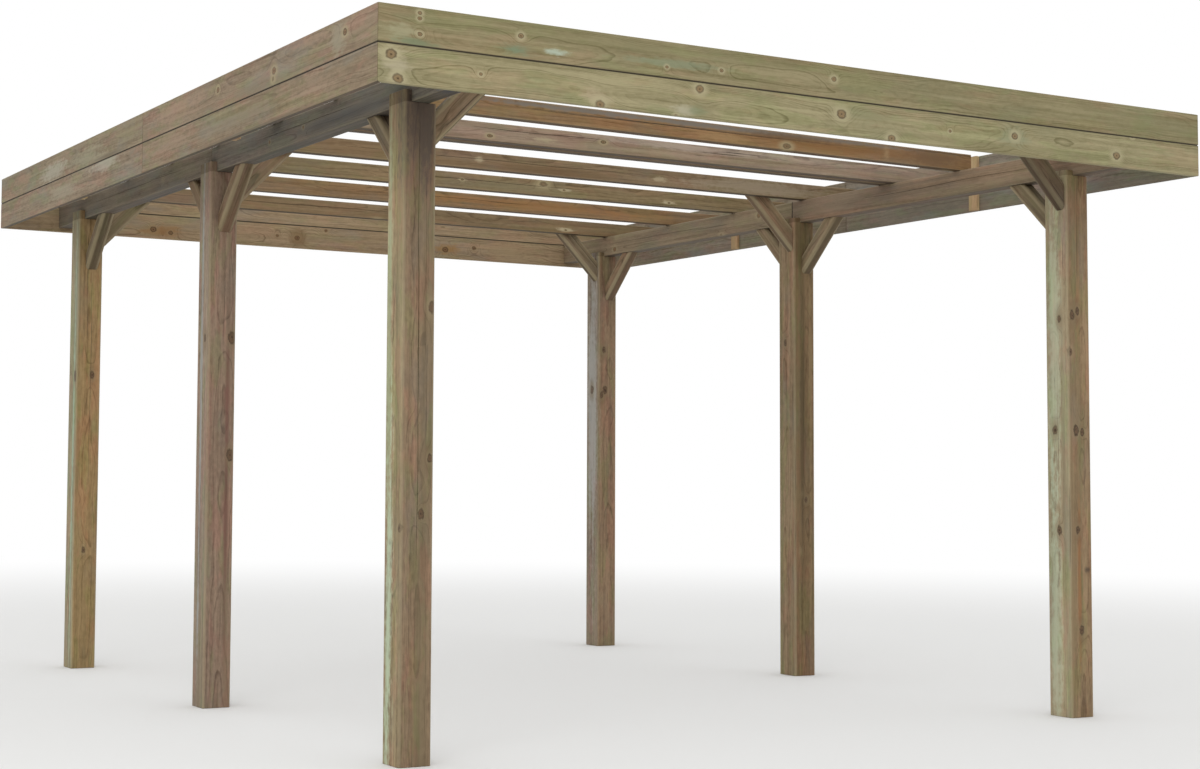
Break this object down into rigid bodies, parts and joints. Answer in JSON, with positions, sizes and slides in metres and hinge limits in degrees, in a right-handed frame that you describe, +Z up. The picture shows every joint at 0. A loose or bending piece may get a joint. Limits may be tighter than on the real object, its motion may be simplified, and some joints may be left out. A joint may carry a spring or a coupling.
{
  "type": "carport",
  "caption": "Open flat-roofed timber carport frame: square posts, side beams, cross rafters, two-board fascia all round and knee braces, with no roof covering.",
  "frame": {"origin": "ground level, in the middle of the plan", "axes": "+X across the bay to the right seen from the front, +Y from the front to the back, +Z up"},
  "size_m": [3.665, 4.254, 2.413],
  "materials": {
    "post_timber": "planed treated softwood, brown with pale green stain",
    "beam_timber": "planed treated softwood, grey brown",
    "rafter_timber": "planed treated softwood, brown",
    "brace_timber": "planed treated softwood, brown",
    "fascia_end_timber": "planed treated softwood, olive tan",
    "fascia_side_timber": "planed treated softwood, pinkish tan",
    "cleat_timber": "fresh sawn pine"
  },
  "bodies": {
    "root": {"post_front_left": "post_timber", "post_middle_left": "post_timber", "post_back_left": "post_timber", "post_front_right": "post_timber", "post_middle_right": "post_timber", "post_back_right": "post_timber", "beam_left_front": "beam_timber", "beam_left_back": "beam_timber", "beam_right_front": "beam_timber", "beam_right_back": "beam_timber", "rafter_1": "rafter_timber", "rafter_2": "rafter_timber", "rafter_3": "rafter_timber", "rafter_4": "rafter_timber", "rafter_5": "rafter_timber", "rafter_6": "rafter_timber", "rafter_7": "rafter_timber", "rafter_8": "rafter_timber", "brace_front_left_inward": "brace_timber", "brace_front_left_along": "brace_timber", "brace_middle_left_inward": "brace_timber", "brace_middle_left_forward": "brace_timber", "brace_middle_left_rearward": "brace_timber", "brace_back_left_inward": "brace_timber", "brace_back_left_along": "brace_timber", "brace_front_right_inward": "brace_timber", "brace_front_right_along": "brace_timber", "brace_middle_right_inward": "brace_timber", "brace_middle_right_forward": "brace_timber", "brace_middle_right_rearward": "brace_timber", "brace_back_right_inward": "brace_timber", "brace_back_right_along": "brace_timber", "fascia_front_lower": "fascia_end_timber", "fascia_front_upper": "fascia_end_timber", "fascia_back_lower": "fascia_end_timber", "fascia_back_upper": "fascia_end_timber", "fascia_left_lower_front": "fascia_side_timber", "fascia_left_lower_back": "fascia_side_timber", "fascia_left_upper_front": "fascia_side_timber", "fascia_left_upper_back": "fascia_side_timber", "fascia_right_lower_front": "fascia_side_timber", "fascia_right_lower_back": "fascia_side_timber", "fascia_right_upper_front": "fascia_side_timber", "fascia_right_upper_back": "fascia_side_timber", "fascia_cleats": "cleat_timber"}
  },
  "joints": []
}
